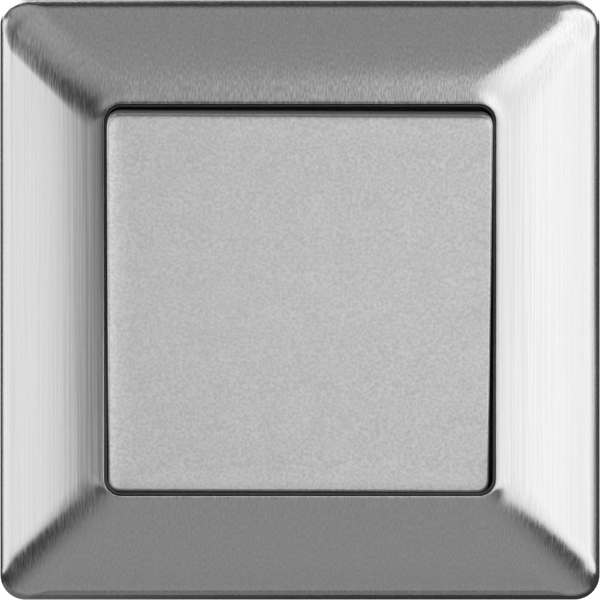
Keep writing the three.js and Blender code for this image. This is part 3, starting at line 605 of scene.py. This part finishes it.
def screw_blank(head, head_height, shank, under, tip):
    """A pan head with a cross recess on a plain shank, its axis along Y."""
    top = under - head_height
    dome = [(0.3, top), (head * 0.55, top + 0.1), (head * 0.85, top + 0.35), (head, top + 0.8)]
    point = [(head, under), (shank, under), (shank, tip - 0.8), (shank * 0.6, tip)]
    wing, deep = head * 0.62, top + head_height * 0.62
    recess = []
    for a, b in ((wing, head * 0.13), (head * 0.13, wing)):
        narrow = [(0.55 * x, 0.8 * z) for x, z in rounded(2 * a, 2 * b, 0.08 * head, steps=3)]
        wide = rounded(2 * a, 2 * b, 0.08 * head, steps=3)
        recess.append(loft([[(x, deep, z) for x, z in narrow], [(x, top - 0.2, z) for x, z in wide]]))
    return fused("blank", [turned(dome + point)], recess, (), 0.06)


def screws(blank, core, pitch, length, start, per_side=1, spacing=0.0, seed=0):
    """Mesh data of threaded screws set out on a square grid, with all their sizes in millimetres."""
    sizes = {"Core": core, "Pitch": pitch, "Length": length, "Start": start, "Spacing": spacing}
    counts = {"Columns": per_side, "Rows": per_side, "Seed": seed}
    in_metres = {name: size * MM for name, size in sizes.items()}
    return run_nodes(blank, threaded, Coat=zinc, **counts, **in_metres)


blank = screw_blank(head=2.2, head_height=1.4, shank=1.0, under=-YOKE_SHEET - 0.05, tip=10)
set_of_four = {"per_side": 2, "spacing": 2 * SCREW_AT, "seed": 4}
housing_screws = screws(blank, core=0.95, pitch=0.6, length=8.4, start=0.9, **set_of_four)
housing_screws = linked("housing_screw_set", housing_screws)
corner_names = ("upper_right", "upper_left", "lower_left", "lower_right")
screw_nodes = ["housing_screw_" + corner for corner in corner_names]
install(housing_screws, zinc, "zinc_plated_steel", "root", *screw_nodes)

# ---- Claws ---------------------------------------------------------------------------------------
# A bent steel claw stands at each side of the housing. Its screw draws the foot forward, and the
# toothed tail swings out and bites the wall box. It is stamped from 1.2 mm zinc-plated strip.

claw_low, claw_high = extent("right_claw")
CLAW_SHEET = 1.2
FOOT = claw_high.x - 1 - CLAW_SHEET / 2
claw_path = [(claw_low.x, 6), (FOOT, 6), (FOOT, 17.1), (FOOT + 0.85, claw_high.y - 0.35)]
for side, name in ((1, "right"), (-1, "left")):
    turn = Matrix.Rotation(0 if side > 0 else math.pi, 4, "Y")
    leaf = bent(claw_path, 0.9, CLAW_SHEET)
    tip = claw_high.y
    gaps = [[(tip - 2.2, z), (tip + 2, z - 1.5), (tip + 2, z + 1.5)] for z in (-2, 0, 2)]
    teeth = [prism(gap, "X", 25, 32) for gap in gaps]
    shoulder = [(16.5, 5), (16.5, 4.2), (21, 2.8), (21, 5)]
    shoulders = [prism([(y, end * z) for y, z in shoulder], "X", 25, 32) for end in (1, -1)]
    slot = prism(rounded(4.2, 3.7, 1.8, CLAW_SCREW_AT + 0.35, 0), "Y", 4, 8)
    window = prism(rounded(5, 1.6, 0.79, 12, 0), "X", 25, 32)
    cuts = [*teeth, *shoulders, slot, window]
    made = fused(name + "_spreading_claw", [prism(leaf, "Z", -4, 4)], cuts, (), 0.12, turn)
    install(made, zinc, "zinc_plated_steel", name + "_claw_body", name + "_claw")

    blank = screw_blank(head=2.8, head_height=2, shank=1.35, under=-YOKE_SHEET - 0.1, tip=9.5)
    data = screws(blank, core=1.3, pitch=0.7, length=9, start=-0.3, seed=2)
    data.transform(Matrix.Translation((side * CLAW_SCREW_AT * MM, 0, 0)))
    claw_screw = linked(name + "_claw_driver", data)
    install(claw_screw, zinc, "zinc_plated_steel", name + "_screw_body", name + "_claw_screw")

# ---- Rocker cradle -------------------------------------------------------------------------------
# The working lever under the key: a white moulded plate whose two cheeks end in round trunnions. A
# tube in its middle guides the plunger, and four slots take the key's clip legs.

ROCKER_TILT = 4.5
rocked_key = Matrix.Translation(PIVOT) @ Matrix.Rotation(math.radians(ROCKER_TILT), 4, "X")
CRADLE_FRONT, CRADLE_BACK = -7.6, -5.8
CLIP_X, CLIP_Z = 9, 12
TUBE_BORE, TUBE_END, TUBE_CEILING = 2.6, 6.8, -4.8
quadrants = [(1, 1), (-1, 1), (-1, -1), (1, -1)]

cheek = symmetric([(CRADLE_BACK - 0.5, 11), (-3, 8.2), (0.6, 3.2), (2.2, 1.4)])
cradle_solids = [prism(rounded(30, 32, 2), "Y", CRADLE_FRONT, CRADLE_BACK)]
for side in (1, -1):
    cradle_solids.append(prism(cheek, "X", side * 13, side * 15))
    trunnion = [(14.5, TRUNNION), (18.0, TRUNNION), (18.3, TRUNNION - 0.3)]
    cradle_solids.append(loft([[(side * x, a, b) for a, b in disc(r)] for x, r in trunnion]))
tube_root = [(5.2, CRADLE_BACK - 0.5), (4.0, CRADLE_BACK + 0.9), (3.7, CRADLE_BACK + 1.6)]
cradle_solids.append(turned([*tube_root, (3.7, TUBE_END - 0.4), (3.4, TUBE_END)]))
web = [(CRADLE_BACK - 0.5, 14), (CRADLE_BACK - 0.5, -14), (-4.2, -14), (-2, -4), (-2, 4), (-4.2, 14)]
cradle_solids.append(prism([(x, y) for y, x in web], "Z", -0.6, 0.6))
cradle_solids.append(prism([(y, z * 0.9) for y, z in web], "X", -0.6, 0.6))
cradle_cuts = [prism(disc(TUBE_BORE), "Y", TUBE_CEILING, TUBE_END + 1)]
for sx, sz in quadrants:
    cradle_cuts.append(prism(rounded(4.7, 2, 0.3, sx * CLIP_X, sz * (CLIP_Z - 0.65)), "Y", -9, -5))
cradle = fused("rocker_cradle_moulding", cradle_solids, cradle_cuts, (), 0.15, rocked_key)
install(cradle, white_polyester, "white_plastic", "rocker_assembly", "rocker_cradle")

# ---- Plunger and spring --------------------------------------------------------------------------
# The plunger slides in the cradle's tube and its round nose runs along the blade. The spring that
# presses it is wound from 0.54 mm wire, with closed ends, and shortens as the plunger is pushed in.

grey_acetal = finish(
    "moulded_grey_acetal", ("#83888b", "#94999c"), (0.26, 0.36), 4, relief=(0.12, 0.01), IOR=1.48
)
PIN, PIN_BACK, NOSE_END = 2.3, 3.6, 11.72  # its radius, and where it starts and ends
rounds = [math.radians(9 * i) for i in range(10)]
nose = [(PIN * math.cos(a), NOSE_END - PIN + PIN * math.sin(a)) for a in rounds] + [(0.05, NOSE_END)]
grooves = [(PIN, 3.9), (PIN, 5.0), (PIN - 0.2, 5.1), (PIN - 0.2, 5.6), (PIN, 5.7)]
pin = turned([(PIN - 0.3, PIN_BACK), *grooves, *nose], sides=48)
plunger = fused("snap_plunger", [pin], (), (), 0.03, rocked_key)
install(plunger, grey_acetal, "grey_plastic", "plunger_body", "plunger")


def coil_tree():
    """Geometry Nodes that wind a compression spring along Z, its pitch easing to closed ends."""
    tree, given = node_group("wound_spring", Length="Float", Radius="Float", Wire="Float", Turns="Float")
    wire = add(tree, "GeometryNodeCurvePrimitiveLine").outputs[0]
    fine = add(tree, "GeometryNodeResampleCurve", {"Curve": wire, "Count": 260}).outputs[0]
    along = add(tree, "GeometryNodeSplineParameter").outputs["Factor"]
    rise = add(tree, "ShaderNodeMapRange", {"Value": along}, interpolation_type="SMOOTHSTEP").outputs[0]
    height = reckon(tree, "MULTIPLY", rise, given["Length"])
    angle = reckon(tree, "MULTIPLY", reckon(tree, "MULTIPLY", given["Turns"], math.tau), along)
    across, up = [reckon(tree, way, angle) for way in ("COSINE", "SINE")]
    across, up = [reckon(tree, "MULTIPLY", way, given["Radius"]) for way in (across, up)]
    place = add(tree, "ShaderNodeCombineXYZ", {"X": across, "Y": up, "Z": height}).outputs[0]
    coil = add(tree, "GeometryNodeSetPosition", {"Geometry": fine, "Position": place}).outputs[0]
    round_wire = {"Resolution": 10, "Radius": given["Wire"]}
    section = add(tree, "GeometryNodeCurvePrimitiveCircle", round_wire).outputs[0]
    return deliver(tree, swept(tree, coil, section), given["Coat"])


SPRING_FRONT, SPRING_BACK = TUBE_CEILING + 0.5, 3.1
SPRING_LENGTH = SPRING_BACK - SPRING_FRONT
wound = {"Length": SPRING_LENGTH, "Radius": 1.95, "Wire": 0.27, "Turns": 8.0, "Coat": leaf_steel}
spring_mesh = run_nodes(linked("blank", bpy.data.meshes.new("blank")), coil_tree(), **wound)
lie_along = Matrix.Translation((0, SPRING_FRONT, 0)) @ Matrix.Rotation(-math.pi / 2, 4, "X")
spring_mesh.transform(Matrix.Scale(MM, 4) @ rocked_key @ lie_along)
spring_mesh.shade_smooth()
spring = linked("plunger_coil", spring_mesh)
install(spring, leaf_steel, "spring_steel", "rocker_assembly", "plunger_spring")
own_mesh(spring)

# ---- Frame carrier -------------------------------------------------------------------------------
# A dark moulded frame lines the steel. Its lip edges the opening round the key, ribs stiffen it
# behind, and four snap tongues grip the folded sides of the yoke.

dark_abs = finish(
    "moulded_dark_grey_ABS", ("#3c3d3f", "#4d4e50"), (0.32, 0.46), 4, relief=(0.3, 0.02), IOR=1.54
)

COVER, DEPTH, RIM, SHEET = cad_high.x / MM, 11.0, 5.2, 0.7
OPENING = 27.7
RISE = math.radians(68)


def rail(share):
    """(half size, corner, y) of the rail's front, from its outer edge at 0 to the lip at 1."""
    half = COVER - 1 - share * (COVER - OPENING - 1.08)
    rise = math.sin(share * RISE) / math.sin(RISE)
    return half, 3.6 - share * 0.2, -(RIM + 0.7) - rise * (DEPTH - RIM - 0.7)


def bend(centre, radius, start, end, steps=6):
    """Points (half size, y) on an arc, angles in degrees with 0 outward and 90 towards the viewer."""
    turns = [math.radians(start + (end - start) * i / steps) for i in range(steps + 1)]
    return [(centre[0] + radius * math.cos(a), centre[1] - radius * math.sin(a)) for a in turns]


CARRIER_WALL = 1.5
CARRIER = COVER - SHEET - 0.3
LIP, LIP_FRONT, LIP_BACK = 27.35, -10.65, -8.7
CARRIER_INNER = LIP + 0.45
FLANGE_BACK = -YOKE_SHEET - 0.15
top = [(h, c, y + SHEET + 0.45) for h, c, y in (rail(0.1 + 0.075 * i) for i in range(11))]
under = [(h - 0.2, c, y + CARRIER_WALL) for h, c, y in reversed(top)]
lip_middle, lip_round = LIP + 0.13, 0.13
lip = [(h, 2.1 + h - LIP, y) for h, y in bend((lip_middle, LIP_FRONT + lip_round), lip_round, 0, 180, 8)]
carrier_sections = [
    (CARRIER, 2.6, 0),
    (CARRIER, 2.6, -RIM + 0.9),
    *top,
    (OPENING + 1, 3.4, -DEPTH + 1.6),
    (OPENING + 1, 3.4, LIP_BACK),
    (LIP + 0.3, 2.4, LIP_BACK),
    *lip,
    (LIP, 2.1, LIP_BACK + 0.3),
    (CARRIER_INNER, 2.4, LIP_BACK + 0.8),
    (CARRIER_INNER, 2.4, FLANGE_BACK),
    (CARRIER_INNER + CARRIER_WALL, 3.4, FLANGE_BACK),
    (CARRIER_INNER + CARRIER_WALL, 3.4, under[0][2]),
    *under,
    (CARRIER - CARRIER_WALL, 1.6, -RIM + 2),
    (CARRIER - CARRIER_WALL, 1.6, 0),
]
carrier_body = shell(carrier_sections, 10, True)
flange_width = 2 * CARRIER_INNER + 1
flange_outside = prism(rounded(flange_width, flange_width, 2.4), "Y", -YOKE_SHEET - 0.75, FLANGE_BACK)
flange_openings = [rounded(48, 48, 2), rounded(2 * CARRIER_INNER - 0.8, 6.8, 1)]
flange = rough_cut([flange_outside], [prism(outline, "Y", -4, 4) for outline in flange_openings])
web = [(29.0, -8.6), (33.0, -7.6), (35.2, -6.8), (35.2, -3.9), (29.0, -3.9)]
webs = repeated(prism(web, "Z", -0.4, 0.4), dark_abs, 6, (0, 0, 9), 4)
GRIP = YOKE + 0.45
tongue = [(0.1, -6.6), (1.3, -6.6), (1.3, -0.8), (0.2, -0.8), (-0.15, -1.8), (0.1, -2.6)]
tongues = []
for side in (1, -1):
    outline = [(side * (GRIP + x), y) for x, y in tongue]
    tongues += [prism(outline, "Z", z - 5, z + 5) for z in (13, -13)]
carrier = fused("lining_frame", [carrier_body], (), [flange, webs, *tongues], 0.1)
install(carrier, dark_abs, "black_plastic", "root", "frame_carrier")

# ---- Cover frame ---------------------------------------------------------------------------------
# The square frame is pressed from brushed stainless sheet. Its rails rise in a gentle curve from an
# upright rim to a turned-in lip, and meet in softly rounded mitres. It clips over the carrier.

# Stainless steel ground with a belt that ran up and down: fine vertical grooves spread each reflection
# sideways, and the deeper ones show as light and dark streaks. The grain is drawn coarse enough to see.
brushed = finish(
    "brushed_stainless_steel",
    ("#c2c2c2", "#d4d4d4"),
    (0.17, 0.25),
    4.5,
    (1, 1, 150),
    (0.5, 0.02),
    0.12,
    Metallic=1.0,
    Anisotropic=0.83,
)
tree = brushed.node_tree
facing = add(tree, "ShaderNodeNewGeometry").outputs["Normal"]
across = add(tree, "ShaderNodeVectorMath", {0: facing, 1: (0, 0, 1)}, operation="CROSS_PRODUCT").outputs[0]
across = add(tree, "ShaderNodeVectorMath", {0: across, 1: (-0.01, 0, 0)}).outputs[0]
tree.links.new(across, tree.nodes["Principled BSDF"].inputs["Tangent"])


def mitre(half):
    """The frame's corner radius at that half size: tight at the rim and the lip, softer between."""
    return min(3.6 + 1.5 * (COVER - half), 2.4 + 1.7 * (half - OPENING), 6.0)


# The rim is rolled over in two arcs: a tight one off the upright wall, then a flatter one to the rail.
WALL_TOP = 4.31
TIGHT, FLAT = 1.7, 8.7  # the two arcs' radii
MEET, LEAVE = 58, 64  # the directions, in degrees, where the arcs meet and where the rail takes over
tight = bend((COVER - TIGHT, -WALL_TOP), TIGHT, 0, MEET, 10)
meet = math.radians(MEET)
flat_centre = (tight[-1][0] - FLAT * math.cos(meet), tight[-1][1] + FLAT * math.sin(meet))
flatter = bend(flat_centre, FLAT, MEET, LEAVE, 4)[1:]
curve = [rail(0.06 + 0.94 * i / 24)[::2] for i in range(25)]
curl = bend((OPENING + 0.06, -DEPTH + 0.06), 0.06, 82, 180, 8)
front = [(COVER, -0.3), *tight, *flatter, *curve, *curl, (OPENING, -DEPTH + 2)]
behind = [(h + 0.1, y + SHEET) for h, y in curve[2:]]
wall_inside = [(COVER - SHEET, -WALL_TOP), (COVER - SHEET, -0.3)]
inside = [(OPENING + SHEET, -DEPTH + 2), *reversed(behind), *wall_inside]
skin_sections = [(h, mitre(h), y) for h, y in front]
skin_sections += [(h, max(mitre(h) - SHEET, 1.5), y) for h, y in inside]
skin = shell(skin_sections, 16, True)


def smoothed(name, mesh, seat=Matrix.Identity(4)):
    """A lofted bmesh as a finished piece in metres, smooth but for its sharp folds."""
    data = bpy.data.meshes.new(name)
    mesh.to_mesh(data)
    mesh.free()
    data.transform(Matrix.Scale(MM, 4) @ seat)
    data.shade_smooth()
    data.set_sharp_from_angle(angle=math.radians(35))
    return linked(name, data)


cover = smoothed("cover_frame_skin", skin)
install(cover, brushed, "brushed_steel_skin", "root", "cover_frame")

# ---- Rocker --------------------------------------------------------------------------------------
# The large square key is a moulded cap with four clip legs. Its flat face is sprayed with aluminium
# paint, a satin finish with a very fine speckle. It rests with its top edge proud.

painted = finish(
    "aluminium_paint_on_ABS", ("#d6d6d8", "#f9f9fa"), (0.29, 0.41), 2.4, cloud=0.15, Metallic=0.5, IOR=1.5
)
# The cap's top and bottom end walls, which face up or down, get a darker grey mixed into the paint: painted
# shade, for the shade those walls fall in.
tree = painted.node_tree
shader = tree.nodes["Principled BSDF"]
facing = add(tree, "ShaderNodeNewGeometry").outputs["Normal"]
up_or_down = reckon(tree, "ABSOLUTE", add(tree, "ShaderNodeSeparateXYZ", {0: facing}).outputs["Z"])
end_wall_painted_shade = add(tree, "ShaderNodeMapRange", {"Value": up_or_down, "From Min": 0.5, "From Max": 0.8}).outputs[0]
paint_and_painted_shade = {0: end_wall_painted_shade, 6: shader.inputs["Base Color"].links[0].from_socket, 7: linear("#8e8f91")}
tree.links.new(add(tree, "ShaderNodeMix", paint_and_painted_shade, data_type="RGBA").outputs[2], shader.inputs["Base Color"])

FACE_X, FACE_Z, REACH, SKIRT, KEY_WALL = 27.05, 26.5, 9.8, 7.8, 1.5
SIDE_DRAFT = math.tan(math.radians(1))
END_BULGE, BULGE_DEPTH = 0.85, 3.5  # the top and bottom walls swell by that much, in that depth
TAPER = 0.00012  # the cap narrows a little towards its foot


def key_section(depth, inset, corner):
    """A section of the cap, that far behind its face and drawn in by that much."""
    bulge = END_BULGE * (1 - max(1 - depth / BULGE_DEPTH, 0) ** 2)
    half_x, half_z = FACE_X + depth * SIDE_DRAFT - inset, FACE_Z + bulge - inset
    outline = rounded(2 * half_x, 2 * half_z, corner, steps=12)
    return [(x * (1 + TAPER * z), depth - REACH, z) for x, z in outline]


MARGIN, MARGIN_PROUD = 4.0, 0.42  # the face's left margin has warped forward a little
EDGE = 0.4
edge = [(EDGE * (1 - math.sin(a)), EDGE * (1 - math.cos(a))) for a in rounds]
face = [(0, EDGE + 0.45 * i) for i in range(1, 9)]
wall_depths = [SKIRT, 5.6, 4.4, 3.5, 2.9, 2.3, 1.8, 1.4, 1.0]
key_sections = [key_section(KEY_WALL, KEY_WALL, 0.6), key_section(SKIRT, KEY_WALL, 0.6)]
key_sections += [key_section(depth, 0, 1.65) for depth in wall_depths]
key_sections += [key_section(depth, inset, max(1.65 - inset, 0.2)) for depth, inset in edge + face]
key_shell = loft(key_sections)
for vert in key_shell.verts:
    if vert.co.y < EDGE - REACH + 0.05:
        share = max(-vert.co.x - (FACE_X - MARGIN), 0) / MARGIN
        vert.co.y += MARGIN_PROUD * (1 - share**3)
ceiling = KEY_WALL - REACH
HOOK = CRADLE_BACK + 0.35
leg_front, leg_end = ceiling - 0.3, HOOK + 1.05
leg = [(leg_front, -1.3), (leg_front, 0), (HOOK, 0), (HOOK, 0.9), (leg_end, 0), (leg_end, -1.3)]
legs = []
for sx, sz in quadrants:
    legs.append(prism([(y, sz * (CLIP_Z + z)) for y, z in leg], "X", sx * CLIP_X - 2, sx * CLIP_X + 2))
root, crest, reach = ceiling - 0.2, ceiling + 1.6, FACE_Z - 1
stiffener = prism([(root, -reach), (crest, -reach), (crest, reach), (root, reach)], "X", -0.4, 0.4)
stiffeners = repeated(stiffener, painted, 5, (9.5, 0, 0), 1)
# A clipped-on cap sits a hair askew.
askew = Matrix.Translation((-0.12, 0, 0)) @ Matrix.Rotation(math.radians(0.25), 4, "Y")
key = fused("rocker_cap", [key_shell], (), [*legs, stiffeners], 0.1, rocked_key @ askew)
install(key, painted, "silver_painted_plastic", "rocker_assembly", "rocker")

# ---- Camera, lights and backdrop -----------------------------------------------------------------
# The switch is seen straight from the front with a long lens against a plain pale backdrop. Softboxes
# stand at both sides and behind, and a dim ceiling and table light the top and bottom.

SENSOR = 36
CAMERA_BACK = 0.45
SEEN, SEEN_AT = 86 * MM, 4.8 * MM  # the picture's width, at that distance in front of the wall
camera_data = bpy.data.cameras.new("camera")
camera_data.sensor_width = SENSOR
camera_data.lens = SENSOR * (CAMERA_BACK - SEEN_AT) / SEEN
camera_data.clip_start = 0.05
camera = bpy.data.objects.new("camera", camera_data)
camera.location = (0, -CAMERA_BACK, 0)
camera.rotation_euler = (math.radians(90), 0, 0)
bpy.context.scene.collection.objects.link(camera)
bpy.context.scene.camera = camera


def panel(name, place, facing, wide, high, radiance):
    """A rectangular light of that radiance, its centre at place, shining along facing, sizes in metres."""
    data = bpy.data.lights.new(name, "AREA")
    data.shape = "RECTANGLE"
    data.size, data.size_y = wide, high
    data.energy = radiance * math.pi * wide * high
    light = bpy.data.objects.new(name, data)
    light.location = place
    light.rotation_euler = (-Vector(facing)).to_track_quat("Z", "Y").to_euler()
    light.visible_camera = False
    bpy.context.scene.collection.objects.link(light)


def softbox(name, azimuth, elevation, wide, high, radiance):
    """A panel a metre off in that direction, facing the switch, its width and height in degrees."""
    a, e = math.radians(azimuth), math.radians(elevation)
    towards = Vector((math.sin(a) * math.cos(e), -math.cos(a) * math.cos(e), math.sin(e)))
    width, height = (2 * math.tan(math.radians(angle / 2)) for angle in (wide, high))
    panel(name, towards, -towards, width, height, radiance)


softbox("left_box", -65, -4, 50, 25, 1.27)
softbox("left_box_top", -71, 18, 37, 20, 1.27)
softbox("left_fringe", -33, -2, 10, 26, 0.4)
softbox("upper_left_fill", -48, 34, 36, 26, 0.2)
softbox("right_box", 39, 10, 50, 58, 1.34)
softbox("right_box_far_half", 53, 10, 22, 58, 0.3)
softbox("front_fill", 0, -8, 22, 14, 1.15)
softbox("rear_left_box", -125, 46, 44, 44, 2.6)
softbox("rear_right_box", 125, 40, 44, 44, 2.2)
softbox("rear_box", 180, 4, 34, 30, 1.6)
panel("ceiling", (0, -0.82, 0.5), (0, 0, -1), 1.0, 1.14, 0.32)
panel("table", (0, -0.95, -0.5), (0, 0, 1), 1.0, 1.3, 0.34)
panel("table_back", (0, -0.232, -0.5), (0, 0, 1), 1.0, 0.085, 0.24)
panel("table_rear_left", (-0.52, 0.35, -0.5), (0, 0, 1), 0.9, 1.1, 0.16)

world = bpy.data.worlds.new("studio")
world.use_nodes = True
world.node_tree.nodes["Background"].inputs["Color"].default_value = (1, 1, 1, 1)
world.node_tree.nodes["Background"].inputs["Strength"].default_value = 0.05
bpy.context.scene.world = world
bpy.context.scene.view_settings.view_transform = "Standard"

paper = finish("pale_studio_paper", ("#f2f2f2", "#f6f6f6"), (0.85, 0.95), 0.2)
paper_shader = paper.node_tree.nodes["Principled BSDF"]
paper_shader.inputs["Emission Color"].default_value = (1, 1, 1, 1)
paper_shader.inputs["Emission Strength"].default_value = 1.0
room = [(-3000, 3), (-3000, 3000), (1800, 3000), (1800, 3)]
backdrop = smoothed("backdrop", shell([(half, half / 3, y) for y, half in room]))
backdrop.data.materials.append(paper)
backdrop.visible_glossy = False
backdrop.visible_diffuse = False
